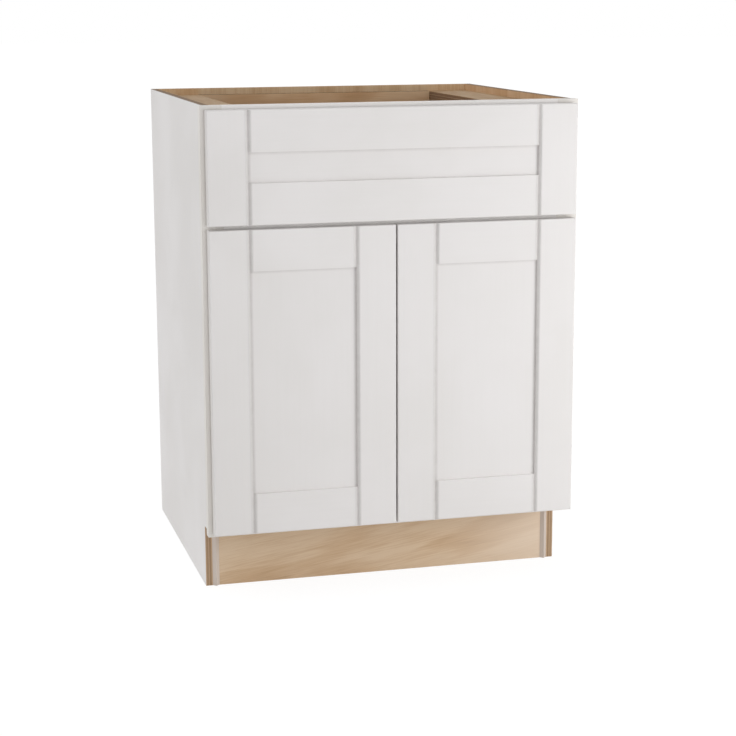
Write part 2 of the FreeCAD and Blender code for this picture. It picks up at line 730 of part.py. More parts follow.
def slides():
    """Undermount slides: a cabinet channel, a middle channel and a drawer channel on each side."""
    y0 = slide_front_y
    y1 = box_back_y
    inner = slide_inner_x
    outer = -box_inner_x + slide_box_gap
    base_z = middle_rail_top_z
    lip = block(-opening_x, -opening_x + slide_wall, y0, y1, base_z, base_z + slide_outer_lip)
    base = block(-opening_x, inner, y0, y1, base_z, base_z + slide_wall)
    wall_top = base_z + slide_cabinet_wall_height
    walls = [block(outer, outer + slide_wall, y0, y1, base_z, wall_top),
             block(inner - slide_wall, inner, y0, y1, base_z, wall_top)]
    foot = block(-opening_x, -opening_x + slide_foot_width, y0 - slide_foot_reach, y0, base_z,
                 base_z + slide_wall)
    save_pair("slide_cabinet_rail", base.fuse([lip, foot] + walls).cut(foot_screw_hole()))

    play = slide_wall + slide_gap
    mid_low = base_z + slide_wall + slide_gap
    mid_high = box_floor_z - slide_wall - slide_gap
    middle = block(outer + play, inner - play, y0, y1, mid_low, mid_high)
    hollow = block(outer + play + slide_wall, inner - play - slide_wall, y0 - overrun, y1 + overrun,
                   mid_low + slide_wall, mid_high - slide_wall)
    slot_half = (inner - outer) * slide_web_slot_share / 2
    centre = (inner + outer) / 2
    slot = block(centre - slot_half, centre + slot_half, y0 - overrun, y1 + overrun,
                 mid_low - overrun, mid_low + overrun)
    save_pair("slide_middle_rail", middle.cut([hollow, slot]))

    top_z = box_floor_z
    wall_bottom = top_z - slide_drawer_wall_height
    cap = block(outer, inner, y0, y1, top_z - slide_wall, top_z)
    walls = [block(outer, outer + slide_wall, y0, y1, wall_bottom, top_z),
             block(inner - slide_wall, inner, y0, y1, wall_bottom, top_z)]
    save_pair("slide_drawer_rail", cap.fuse(walls))

    bracket_y = y1 - bracket_grip
    sleeve = block(-opening_x - bracket_wall, inner + bracket_wall, bracket_y, back_inner_y,
                   base_z - bracket_wall, base_z)
    plate = block(-opening_x - bracket_wall, inner + bracket_wall, back_inner_y - bracket_wall,
                  back_inner_y, base_z - bracket_wall, base_z - bracket_wall + bracket_plate_height)
    cheek = block(-opening_x - bracket_wall, -opening_x, bracket_y, back_inner_y,
                  base_z - bracket_wall, base_z + slide_outer_lip)
    holes = [bracket_screw_hole(x) for x in bracket_screw_places()]
    save_pair("slide_bracket", sleeve.fuse([plate, cheek]).cut(holes))

    clip_x = inner + slide_gap
    body = block(clip_x, clip_x + clip_length, y0, y0 + clip_length, box_floor_z - clip_depth,
                 box_floor_z)
    lever = block(clip_x + clip_lever_width, clip_x + clip_lever_width + clip_lever_width, y0,
                  y0 + clip_lever_width, box_floor_z - clip_depth - clip_lever_drop,
                  box_floor_z - clip_depth)
    save_pair("drawer_clip", body.fuse(lever))


if __name__ == "__main__":
    os.makedirs("parts", exist_ok=True)
    face_frame()
    side_panels()
    box_panels()
    toe_kick()
    shelf_and_pins()
    doors()
    hinges()
    drawer_box()
    drawer_front()
    slides()
    carcass_screws()
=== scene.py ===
import json
import math

import bmesh
import bpy
from mathutils import Matrix, Vector

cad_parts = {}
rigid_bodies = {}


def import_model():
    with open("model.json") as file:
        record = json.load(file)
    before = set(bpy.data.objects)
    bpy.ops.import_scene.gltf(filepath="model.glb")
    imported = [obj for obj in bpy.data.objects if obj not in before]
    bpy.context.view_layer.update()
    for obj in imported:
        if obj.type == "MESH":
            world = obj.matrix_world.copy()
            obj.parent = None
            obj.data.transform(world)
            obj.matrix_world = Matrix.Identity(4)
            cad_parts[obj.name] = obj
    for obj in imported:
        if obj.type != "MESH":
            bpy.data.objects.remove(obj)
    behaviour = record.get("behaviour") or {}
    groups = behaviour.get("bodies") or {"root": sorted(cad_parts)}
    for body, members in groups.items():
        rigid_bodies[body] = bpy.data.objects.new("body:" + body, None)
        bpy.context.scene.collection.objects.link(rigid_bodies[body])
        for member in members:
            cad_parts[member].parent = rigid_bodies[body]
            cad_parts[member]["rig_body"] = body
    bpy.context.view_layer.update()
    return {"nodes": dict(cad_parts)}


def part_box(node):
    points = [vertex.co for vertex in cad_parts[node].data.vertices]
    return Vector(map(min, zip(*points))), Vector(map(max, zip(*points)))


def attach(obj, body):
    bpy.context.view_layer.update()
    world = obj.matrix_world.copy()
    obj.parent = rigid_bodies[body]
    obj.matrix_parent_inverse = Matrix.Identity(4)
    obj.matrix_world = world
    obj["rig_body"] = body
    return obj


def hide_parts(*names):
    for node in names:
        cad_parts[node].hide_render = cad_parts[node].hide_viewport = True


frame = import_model()
nodes = frame["nodes"]

MM = 0.001


def feed(tree, node, inputs):
    """Links each input that is given a socket, and sets each one that is given a value."""
    for name, value in inputs.items():
        socket = node.inputs[name]
        if isinstance(value, bpy.types.NodeSocket):
            tree.links.new(value, socket)
        else:
            socket.default_value = value


def put(tree, kind, inputs=None, **settings):
    """Adds a node with its settings and inputs."""
    made = tree.nodes.new("ShaderNode" + kind)
    for name, value in settings.items():
        setattr(made, name, value)
    feed(tree, made, inputs or {})
    return made


def place(tree, group, inputs):
    """Adds a node group and returns its outputs."""
    return put(tree, "Group", inputs, node_tree=group).outputs


def maths(tree, operation, a, b=0.0, clamp=False):
    return put(tree, "Math", {0: a, 1: b}, operation=operation, use_clamp=clamp).outputs[0]


def weighted_sum(tree, *parts, clamp=False):
    """The sum of several values, each times its weight."""
    total = None
    for value, weight in parts:
        part = maths(tree, "MULTIPLY", value, weight)
        total = part if total is None else maths(tree, "ADD", total, part, clamp)
    return total


def blend_colors(tree, share, a, b):
    return put(tree, "Mix", {0: share, 6: a, 7: b}, data_type="RGBA").outputs[2]


def blend_values(tree, share, a, b):
    return put(tree, "Mix", {0: share, 2: a, 3: b}).outputs[0]


def ramp(tree, value, low, high, to_low=0.0, to_high=1.0):
    """Turns the span from low to high into the one from to_low to to_high, with soft ends."""
    inputs = {"Value": value, "From Min": low, "From Max": high, "To Min": to_low, "To Max": to_high}
    return put(tree, "MapRange", inputs, interpolation_type="SMOOTHSTEP").outputs[0]


def stretched(tree, vector, stretch):
    return put(tree, "VectorMath", {0: vector, 1: stretch}, operation="MULTIPLY").outputs[0]


def noise(tree, vector, scale, detail=2.0, rough=0.5, bend=0.0, stretch=None):
    if stretch:
        vector = stretched(tree, vector, stretch)
    inputs = {"Vector": vector, "Scale": scale, "Detail": detail, "Roughness": rough, "Distortion": bend}
    return put(tree, "TexNoise", inputs).outputs[0]


def coordinate(tree, vector, index):
    return put(tree, "SeparateXYZ", {0: vector}).outputs[index]


def recorded(tree, name):
    """A value from 0 to 1 that a piece records on its own mesh."""
    return put(tree, "Attribute", attribute_name=name).outputs["Fac"]


def board_vector(tree):
    """Where a point lies along, across and through its board."""
    return put(tree, "Attribute", attribute_name="board").outputs["Vector"]


def place_vector(tree):
    """Where a point lies in the cabinet at rest."""
    return put(tree, "TexCoord").outputs["Object"]


def effect(name, takes, gives):
    """A node group with named sockets. Returns the group, its input sockets and its output node."""
    group = bpy.data.node_groups.new(name, "ShaderNodeTree")
    kinds = {"vector": "NodeSocketVector", "color": "NodeSocketColor", "value": "NodeSocketFloat"}
    for label, kind in takes.items():
        group.interface.new_socket(label, in_out="INPUT", socket_type=kinds[kind])
    for label, kind in gives.items():
        group.interface.new_socket(label, in_out="OUTPUT", socket_type=kinds[kind])
    return group, group.nodes.new("NodeGroupInput").outputs, group.nodes.new("NodeGroupOutput")


def rgba(red, green, blue):
    """A colour as seen on screen, 0 to 255, as Blender's linear values."""
    def linear(level):
        level /= 255
        return level / 12.92 if level <= 0.04045 else ((level + 0.055) / 1.055) ** 2.4
    return (linear(red), linear(green), linear(blue), 1.0)


def toned(color, tint):
    """A colour with each of its channels times that of the tint."""
    return tuple(level * share for level, share in zip(color, tint)) + (1.0,)


WHITE = rgba(242, 239, 238)
WHITE_SHADE = rgba(238, 235, 233)
RUBBED_WHITE = rgba(218, 212, 206)
# Painted shade for the grooves and joints of the doors and drawer front
GROOVE_PAINTED_SHADE = rgba(176, 171, 168)
SPECK_BROWN = (0.45, 0.42, 0.38, 1.0)
BIRCH_PALE = rgba(226, 203, 174)
BIRCH_MID = rgba(212, 183, 149)
BIRCH_DARK = rgba(186, 152, 117)
COATED_PALE = rgba(224, 199, 166)
COATED_MID = rgba(207, 176, 138)
COATED_DARK = rgba(178, 141, 103)
END_GRAIN_LIGHT = rgba(184, 150, 112)
END_GRAIN_DARK = rgba(146, 110, 76)
RUBBED_BIRCH = rgba(168, 132, 96)
PLY_LIGHT = rgba(226, 202, 174)
PLY_DARK = rgba(178, 150, 122)
PLY_GLUE = rgba(112, 86, 62)
TOP_EDGE_PAINTED_SHADE = rgba(92, 74, 58)
PAINTED_LIGHT_VENEER = rgba(246, 228, 208)
ZINC_GREY = (0.60, 0.61, 0.62, 1.0)
NICKEL_GREY = (0.76, 0.75, 0.73, 1.0)
NYLON_GREY = (0.20, 0.205, 0.21, 1.0)
NYLON_DARK = (0.16, 0.165, 0.17, 1.0)
PAD_LIGHT = (0.84, 0.86, 0.86, 1.0)
PAD_DARK = (0.78, 0.81, 0.82, 1.0)
INNER_TINT = (0.74, 0.64, 0.5)
NO_TINT = (1.0, 1.0, 1.0)

# How much of a rubbed edge shows, and how rough and how shiny each surface is
PAINT_RUB = 0.55
PLY_RUB = 0.35
WOOD_RUB = 0.4
PAINT_ROUGH = (0.36, 0.46)
PLY_ROUGH = (0.5, 0.64)
WOOD_ROUGH = (0.34, 0.48)
STEEL_ROUGH_SPAN = 0.14
PLASTIC_ROUGH_SPAN = 0.12
PAINT_SPECULAR = 0.42
PLY_SPECULAR = 0.15
WOOD_COAT = 0.15
WOOD_COAT_ROUGH = 0.35

# Depth and strength of each bump
PAINT_BUMP = (0.06 * MM, 0.6)
PLY_BUMP = (0.08 * MM, 0.7)
WOOD_BUMP = (0.06 * MM, 0.6)
STEEL_BUMP = (0.03 * MM, 0.5)
PLASTIC_BUMP = (0.05 * MM, 0.7)

RING_WAVES = 34.0
HALF_INCH = 12.7 * MM
QUARTER_INCH = 6.35 * MM
FACE_PLY = 0.7 * MM
GLUE_SHARE = 0.13
SKIN_DEPTH = 0.45 * MM
SIDE_TOP_Z = 876.3 * MM
TOP_EDGE_SHADE_SHARE = 0.6
# Where the painted light on the toe board's face starts and ends along x
PAINTED_LIGHT_FROM_X = 0.08
PAINTED_LIGHT_TO_X = 0.3


def make_veneer_figure():
    """The figure of birch: x runs along the grain, y across it and z through the sheet."""
    tree, take, give = effect(
        "veneer figure",
        {"Board": "vector", "Pale": "color", "Mid": "color", "Dark": "color", "Figure": "value"},
        {"Color": "color", "Height": "value", "Fibre": "value"},
    )
    board = take["Board"]
    wander = noise(tree, board, scale=2.4, detail=3.0, rough=0.55, bend=0.9, stretch=(0.55, 3.2, 3.2))
    rings = maths(tree, "MULTIPLY", wander, RING_WAVES)
    wave = ramp(tree, maths(tree, "SINE", rings), -1.0, 1.0)
    patch = noise(tree, board, scale=3.1, bend=0.4, stretch=(1.5, 5.0, 5.0))
    streak = noise(tree, board, scale=2.0, detail=4.0, rough=0.65, stretch=(7.0, 210.0, 210.0))
    fibre = noise(tree, board, scale=1.6, rough=0.6, stretch=(30.0, 1400.0, 1400.0))
    pores = noise(tree, board, scale=1.0, detail=1.0, stretch=(140.0, 2600.0, 2600.0))
    pore_mask = ramp(tree, pores, 0.66, 0.76)
    tone = maths(tree, "MULTIPLY", wave, take["Figure"])
    tone = maths(tree, "ADD", tone, ramp(tree, patch, 0.3, 0.75, 0.0, 0.46))
    tone = maths(tree, "ADD", tone, ramp(tree, streak, 0.3, 0.75, -0.17, 0.23), clamp=True)
    color = blend_colors(tree, ramp(tree, tone, 0.0, 0.55), take["Pale"], take["Mid"])
    color = blend_colors(tree, ramp(tree, tone, 0.45, 1.0, 0.0, 0.75), color, take["Dark"])
    color = blend_colors(tree, maths(tree, "MULTIPLY", pore_mask, 0.22), color, take["Dark"])
    height = weighted_sum(tree, (streak, 0.5), (fibre, 0.3), (pore_mask, -0.35))
    feed(tree, give, {"Color": color, "Height": height, "Fibre": fibre})
    return tree


def make_sprayed_skin():
    """Sprayed paint: orange peel, slow drifts of tone, faint grain under it and specks of dust in it."""
    tree, take, give = effect(
        "sprayed skin",
        {"Place": "vector", "Board": "vector", "Base": "color", "Shade": "color"},
        {"Color": "color", "Height": "value", "Roughness": "value"},
    )
    where = take["Place"]
    drift = noise(tree, where, scale=5.0, detail=3.0, bend=0.4)
    grain = noise(tree, take["Board"], scale=1.5, detail=3.0, rough=0.6, stretch=(3.0, 120.0, 120.0))
    tone = maths(tree, "ADD", ramp(tree, drift, 0.3, 0.7, 0.0, 0.8), ramp(tree, grain, 0.35, 0.75, 0.0, 0.2))
    color = blend_colors(tree, tone, take["Base"], take["Shade"])
    specks = ramp(tree, noise(tree, where, scale=640.0, detail=1.0), 0.79, 0.82)
    color = blend_colors(tree, maths(tree, "MULTIPLY", specks, 0.12), color, SPECK_BROWN)
    peel = noise(tree, where, scale=420.0, rough=0.45)
    pebble = noise(tree, where, scale=1500.0, detail=1.0)
    height = weighted_sum(tree, (peel, 0.6), (pebble, 0.2), (grain, 0.3), (specks, 0.5))
    roughness = ramp(tree, drift, 0.3, 0.7, *PAINT_ROUGH)
    feed(tree, give, {"Color": color, "Height": height, "Roughness": roughness})
    return tree


def make_edge_rub():
    """A broken mask of rubbed edges, from the piece's own record of where its edges were eased."""
    tree, take, give = effect("edge rub", {"Board": "vector", "Amount": "value"}, {"Mask": "value"})
    eased = recorded(tree, "eased")
    broken = noise(tree, take["Board"], scale=95.0, detail=4.0, rough=0.65)
    fine = noise(tree, take["Board"], scale=700.0, rough=0.6)
    patchy = weighted_sum(tree, (broken, 0.75), (fine, 0.35))
    mask = maths(tree, "MULTIPLY", ramp(tree, patchy, 0.42, 0.72), eased)
    feed(tree, give, {"Mask": maths(tree, "MULTIPLY", mask, take["Amount"], clamp=True)})
    return tree


def make_ply_layers():
    """Whether a point lies inside a sheet's face plies, how dark its ply is, and whether it is in glue."""
    tree, take, give = effect(
        "ply layers",
        {"Board": "vector", "Thickness": "value", "Plies": "value", "Face ply": "value"},
        {"Inside": "value", "Shade": "value", "Glue": "value"},
    )
    depth = coordinate(tree, take["Board"], 2)
    from_back = maths(tree, "SUBTRACT", take["Thickness"], depth)
    near = maths(tree, "MINIMUM", depth, from_back)
    inside = maths(tree, "GREATER_THAN", near, take["Face ply"])
    share = maths(tree, "DIVIDE", depth, take["Thickness"])
    waver = noise(tree, take["Board"], scale=3.0, stretch=(12.0, 12.0, 60.0))
    waver = maths(tree, "MULTIPLY", maths(tree, "SUBTRACT", waver, 0.5), 0.02)
    count = maths(tree, "MULTIPLY", maths(tree, "ADD", share, waver), take["Plies"])
    ply = maths(tree, "FLOOR", count)
    odd = maths(tree, "MODULO", ply, 2.0)
    vary = put(tree, "TexWhiteNoise", {"W": ply}, noise_dimensions="1D").outputs[0]
    shade = weighted_sum(tree, (odd, 0.7), (vary, 0.3), clamp=True)
    glue = maths(tree, "LESS_THAN", maths(tree, "FRACT", count), GLUE_SHARE)
    feed(tree, give, {"Inside": inside, "Shade": shade, "Glue": maths(tree, "MULTIPLY", glue, inside)})
    return tree


VENEER = make_veneer_figure()
SKIN = make_sprayed_skin()
RUB = make_edge_rub()
LAYERS = make_ply_layers()


def empty_material(name):
    made = bpy.data.materials.new(name)
    made.use_nodes = True
    made.node_tree.nodes.clear()
    return made, made.node_tree


def new_material(name):
    made, tree = empty_material(name)
    shader = put(tree, "BsdfPrincipled")
    put(tree, "OutputMaterial", {"Surface": shader.outputs[0]})
    return made, tree, shader


def bump(tree, shader, height, distance, strength):
    made = put(tree, "Bump", {"Height": height, "Distance": distance, "Strength": strength})
    feed(tree, shader, {"Normal": made.outputs[0]})


def painted(name, base=WHITE, shade=WHITE_SHADE):
    """Sprayed paint, rubbed at its edges, with painted shade along the joints where a piece records it."""
    made, tree, shader = new_material(name)
    board = board_vector(tree)
    skin = place(tree, SKIN, {"Place": place_vector(tree), "Board": board, "Base": base, "Shade": shade})
    mask = place(tree, RUB, {"Board": board, "Amount": PAINT_RUB})["Mask"]
    color = blend_colors(tree, mask, skin["Color"], RUBBED_WHITE)
    # Painted shade in the grooves and along the joints, broken up a little by noise
    painted_groove_shade = recorded(tree, "painted_groove_shade")
    shade_noise = noise(tree, place_vector(tree), scale=60.0, detail=3.0, rough=0.6)
    groove_shade_share = maths(tree, "MULTIPLY", painted_groove_shade, ramp(tree, shade_noise, 0.2, 0.8, 0.38, 0.54))
    color = blend_colors(tree, groove_shade_share, color, GROOVE_PAINTED_SHADE)
    feed(tree, shader, {"Base Color": color, "Roughness": skin["Roughness"],
                        "Specular IOR Level": PAINT_SPECULAR})
    bump(tree, shader, skin["Height"], *PAINT_BUMP)
    return made


def add_skin(tree, board, color, rough, height):
    """Paints the outer face of a sheet, and darkens the upper edge of the cabinet's side with painted shade.
    """
    skin = place(tree, SKIN, {"Place": place_vector(tree), "Board": board, "Base": WHITE,
                              "Shade": WHITE_SHADE})
    on_skin = maths(tree, "LESS_THAN", coordinate(tree, board, 2), SKIN_DEPTH)
    color = blend_colors(tree, on_skin, color, skin["Color"])
    rough = blend_values(tree, on_skin, rough, skin["Roughness"])
    height = blend_values(tree, on_skin, height, skin["Height"])
    # Painted shade on the up-facing top edge, which the sky lights brightly
    shaded_top = maths(tree, "GREATER_THAN", coordinate(tree, place_vector(tree), 2), SIDE_TOP_Z - 0.5 * MM)
    shaded_top = maths(tree, "MULTIPLY", shaded_top, TOP_EDGE_SHADE_SHARE)
    return blend_colors(tree, shaded_top, color, TOP_EDGE_PAINTED_SHADE), rough, height


def plywood(name, thickness, plies, figure, tint=INNER_TINT, edge_tint=NO_TINT, skinned=False, painted_light_end=0.0):
    """Birch plywood with its plies on every edge.

    A skinned sheet is painted on its outer face, and painted_light_end is how far the face pales to the
    right, painted light for the light that falls from that side.
    """
    made, tree, shader = new_material(name)
    board = board_vector(tree)
    grain = place(tree, VENEER, {"Board": board, "Pale": toned(BIRCH_PALE, tint), "Figure": figure,
                                 "Mid": toned(BIRCH_MID, tint), "Dark": toned(BIRCH_DARK, tint)})
    layers = place(tree, LAYERS, {"Board": board, "Thickness": thickness, "Plies": plies,
                                  "Face ply": FACE_PLY})
    light_ply, dark_ply, glue = [toned(color, edge_tint) for color in (PLY_LIGHT, PLY_DARK, PLY_GLUE)]
    edge = blend_colors(tree, layers["Shade"], light_ply, dark_ply)
    edge = blend_colors(tree, ramp(tree, grain["Fibre"], 0.3, 0.7, 0.0, 0.35), edge, dark_ply)
    edge = blend_colors(tree, maths(tree, "MULTIPLY", layers["Glue"], 0.75), edge, glue)
    face = grain["Color"]
    # Painted light: the face pales towards the right, where more light falls
    if painted_light_end:
        to_right = coordinate(tree, place_vector(tree), 0)
        painted_light_share = ramp(tree, to_right, PAINTED_LIGHT_FROM_X, PAINTED_LIGHT_TO_X, 0.0, painted_light_end)
        face = blend_colors(tree, painted_light_share, face, PAINTED_LIGHT_VENEER)
    color = blend_colors(tree, layers["Inside"], face, edge)
    mask = place(tree, RUB, {"Board": board, "Amount": PLY_RUB})["Mask"]
    color = blend_colors(tree, mask, color, dark_ply)
    rough = ramp(tree, grain["Fibre"], 0.2, 0.8, *PLY_ROUGH)
    rough = maths(tree, "ADD", rough, maths(tree, "MULTIPLY", layers["Inside"], 0.2))
    height = maths(tree, "SUBTRACT", grain["Height"], maths(tree, "MULTIPLY", layers["Glue"], 0.6))
    if skinned:
        color, rough, height = add_skin(tree, board, color, rough, height)
    feed(tree, shader, {"Base Color": color, "Roughness": rough, "Specular IOR Level": PLY_SPECULAR})
    bump(tree, shader, height, *PLY_BUMP)
    return made


def solid_wood(name):
    """Clear-coated solid birch, with end grain where a board ends."""
    made, tree, shader = new_material(name)
    board = board_vector(tree)
    grain = place(tree, VENEER, {"Board": board, "Pale": COATED_PALE, "Mid": COATED_MID,
                                 "Dark": COATED_DARK, "Figure": 0.5})
    ends = recorded(tree, "end_grain")
    rings = noise(tree, board, scale=1.8, detail=3.0, rough=0.6, bend=0.8, stretch=(3.0, 160.0, 160.0))
    end_color = blend_colors(tree, ramp(tree, rings, 0.35, 0.65), END_GRAIN_LIGHT, END_GRAIN_DARK)
    color = blend_colors(tree, ends, grain["Color"], end_color)
    mask = place(tree, RUB, {"Board": board, "Amount": WOOD_RUB})["Mask"]
    color = blend_colors(tree, mask, color, RUBBED_BIRCH)
    rough = ramp(tree, grain["Fibre"], 0.2, 0.8, *WOOD_ROUGH)
    feed(tree, shader, {"Base Color": color, "Roughness": rough, "Coat Weight": WOOD_COAT,
                        "Coat Roughness": WOOD_COAT_ROUGH})
    bump(tree, shader, grain["Height"], *WOOD_BUMP)
    return made


def plated_steel(name, spangle, base, rough, metallic=1.0, contrast=0.72):
    """Zinc or nickel on pressed steel: soft spangle, rolling lines and fine scratches."""
    made, tree, shader = new_material(name)
    where = place_vector(tree)
    flakes = put(tree, "TexVoronoi", {"Vector": where, "Scale": spangle}).outputs["Color"]
    flake = put(tree, "SeparateColor", {0: flakes}).outputs[0]
    rolled = noise(tree, where, scale=2.0, detail=3.0, rough=0.6, stretch=(420.0, 6.0, 420.0))
    scratch = noise(tree, where, scale=1.0, rough=0.6, stretch=(90.0, 1500.0, 900.0))
    grime = noise(tree, where, scale=38.0, detail=4.0, rough=0.6)
    tone = weighted_sum(tree, (flake, 0.35), (rolled, 0.4))
    tone = maths(tree, "ADD", tone, ramp(tree, grime, 0.5, 0.8, 0.0, 0.3), clamp=True)
    color = blend_colors(tree, tone, base, toned(base, (contrast, contrast, contrast)))
    uneven = maths(tree, "MULTIPLY", flake, 0.12)
    spread = maths(tree, "ADD", uneven, ramp(tree, grime, 0.4, 0.8, rough, rough + STEEL_ROUGH_SPAN))
    feed(tree, shader, {"Base Color": color, "Metallic": metallic, "Roughness": spread})
    bump(tree, shader, weighted_sum(tree, (rolled, 0.5), (scratch, 0.3)), *STEEL_BUMP)
    return made


def moulded(name, base, dark, rough, clear=0.0):
    """Moulded plastic with a fine spark-eroded texture."""
    made, tree, shader = new_material(name)
    where = place_vector(tree)
    texture = noise(tree, where, scale=1900.0, rough=0.6)
    flow = noise(tree, where, scale=2.0, bend=0.8, stretch=(20.0, 6.0, 20.0))
    color = blend_colors(tree, ramp(tree, flow, 0.3, 0.7), base, dark)
    spread = ramp(tree, texture, 0.3, 0.7, rough, rough + PLASTIC_ROUGH_SPAN)
    feed(tree, shader, {"Base Color": color, "Roughness": spread, "Transmission Weight": clear})
    bump(tree, shader, texture, *PLASTIC_BUMP)
    return made


PAINT = painted("white paint")
# The face frame's stiles take a slightly darker, warmer white, painted shade for the strip of frame beside
# the fronts; its rails take a lighter white, painted light against the shade in the gaps above and between
# the fronts
SHADED_FRAME_PAINT = painted("frame paint with painted shade", rgba(240, 236, 231), rgba(235, 231, 225))
LIGHTENED_RAIL_PAINT = painted("rail paint with painted light", rgba(250, 247, 245), rgba(246, 243, 240))
STRIP_PAINT = painted("toe strip paint", rgba(228, 216, 206), rgba(220, 207, 196))
SIDE_PLY = plywood("side plywood", HALF_INCH, plies=5.0, figure=0.2, tint=(0.92, 0.8, 0.68),
                   edge_tint=(0.9, 0.85, 0.8), skinned=True)
BOARD_PLY = plywood("half inch plywood", HALF_INCH, plies=9.0, figure=0.3)
# The toe board's face pales towards its right end: painted light
TOE_PLY = plywood("toe plywood", HALF_INCH, plies=9.0, figure=0.22, tint=(1.09, 1.09, 1.1), painted_light_end=0.65)
PLANK_PLY = plywood("plank plywood", 18.0 * MM, plies=7.0, figure=0.3, tint=(0.61, 0.52, 0.4),
                    edge_tint=(0.43, 0.37, 0.32))
# The hanging rail's face is lightened, painted light against the shade inside the box, and its edges are
# darkened, painted shade on its top edge
RAIL_PLY = plywood("hanging rail plywood", 18.0 * MM, plies=13.0, figure=0.3, tint=(1.12, 1.06, 1.0),
                   edge_tint=(0.26, 0.22, 0.17))
SHELF_PLY = plywood("shelf plywood", 15.0 * MM, plies=11.0, figure=0.3)
THIN_PLY = plywood("thin plywood", QUARTER_INCH, plies=5.0, figure=0.2, tint=(1.18, 1.14, 1.06))
BIRCH = solid_wood("solid birch")
ZINC = plated_steel("zinc plated steel", spangle=240.0, base=ZINC_GREY, rough=0.3)
NICKEL = plated_steel("nickel plated steel", spangle=900.0, base=NICKEL_GREY, rough=0.27, metallic=0.78,
                      contrast=0.88)
GREY_PLASTIC = moulded("grey nylon", NYLON_GREY, NYLON_DARK, rough=0.42)
CLEAR_PAD = moulded("clear polyurethane", PAD_LIGHT, PAD_DARK, rough=0.18, clear=0.25)


AXES = {"x": Vector((1, 0, 0)), "y": Vector((0, 1, 0)), "z": Vector((0, 0, 1))}
MERGE_DISTANCE = 0.002 * MM
CUT_DISTANCE = 0.001 * MM
FLAT_ANGLE = math.radians(1.0)
EASE_STEPS = 2

# The joints of the doors and of the drawer front lie at these distances from the cabinet's middle.
OUTER_JOINT = 263.4 * MM
INNER_JOINT = 73.1 * MM
NEAR = 0.5 * MM
GROOVE_HALF_WIDTH = 4.5 * MM
GROOVE_FLOOR_Y = -308.5 * MM
# How far the painted shade along the joints reaches, and how strong it is on a groove's wall and along a
# panel's top
SHADE_REACH = 7.0 * MM
PANEL_SHADE_REACH = 6.0 * MM
PANEL_TONGUE = 8.0 * MM
GROOVE_WALL_SHADE = 0.5
PANEL_TOP_SHADE = 0.8

# A face narrower than this belongs to an eased edge.
NARROW_WIDTH = 1.6 * MM
LEVEL_DEGREES = 2.0
BLENDED_DEGREES = 40.0
BOARD_CORNER = math.radians(50.0)
END_FACING = 0.8
FIGURE_STEP = 1.37
TOE_GRAIN_SLANT = math.radians(9.0)

# Widths of the eased edges
SHEET_EASE = 0.3 * MM
THIN_EASE = 0.2 * MM
SHELF_EASE = 0.4 * MM
SOLID_EASE = 0.35 * MM
FRAME_EASE = 0.4 * MM
DOOR_EASE = 0.35 * MM
SLIDE_EASE = 0.12 * MM
HINGE_EASE = 0.1 * MM
PLASTIC_EASE = 0.3 * MM
PIN_EASE = 0.3 * MM


def merged_copy(name):
    """The node's mesh with its triangles joined into clean faces. The node itself is left alone."""
    work = bmesh.new()
    work.from_mesh(nodes[name].data)
    bmesh.ops.remove_doubles(work, verts=work.verts, dist=MERGE_DISTANCE)
    bmesh.ops.dissolve_limit(work, angle_limit=FLAT_ANGLE, use_dissolve_boundaries=False,
                             verts=work.verts, edges=work.edges)
    return work


def sharp_edges(work, limit):
    return [edge for edge in work.edges if edge.is_manifold and edge.calc_face_angle(0.0) > limit]


def ease_edges(work, edges, width):
    """Rounds edges off and returns the faces of the roundings."""
    made = bmesh.ops.bevel(work, geom=edges, offset=width, offset_type="OFFSET", segments=EASE_STEPS,
                           profile=0.5, affect="EDGES", clamp_overlap=True, material=-1)
    return made["faces"]


def smooth_where(work, rule):
    """Shades a mesh smoothly, apart from those edges that the rule keeps sharp."""
    for face in work.faces:
        face.smooth = True
    for edge in work.edges:
        edge.smooth = rule(edge)


def link_mesh(work, name, material, rides_on, slot):
    """Turns a finished mesh into an object that rides on a body."""
    bmesh.ops.triangulate(work, faces=[face for face in work.faces if len(face.verts) > 4])
    mesh = bpy.data.meshes.new(name)
    work.to_mesh(mesh)
    work.free()
    mesh.materials.append(material)
    made = bpy.data.objects.new(name, mesh)
    bpy.context.scene.collection.objects.link(made)
    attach(made, rides_on)
    return made


def stand_in(work, name, ending, material, slot):
    """Puts a finished mesh in the place of a node."""
    made = link_mesh(work, name + ending, material, nodes[name]["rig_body"], slot)
    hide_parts(name)


def cut_across(work, axis, level):
    """Adds a line of points to every face that crosses the plane at this level of the axis."""
    bmesh.ops.bisect_plane(work, geom=work.verts[:] + work.edges[:] + work.faces[:], dist=CUT_DISTANCE,
                           plane_co=AXES[axis] * level, plane_no=AXES[axis])


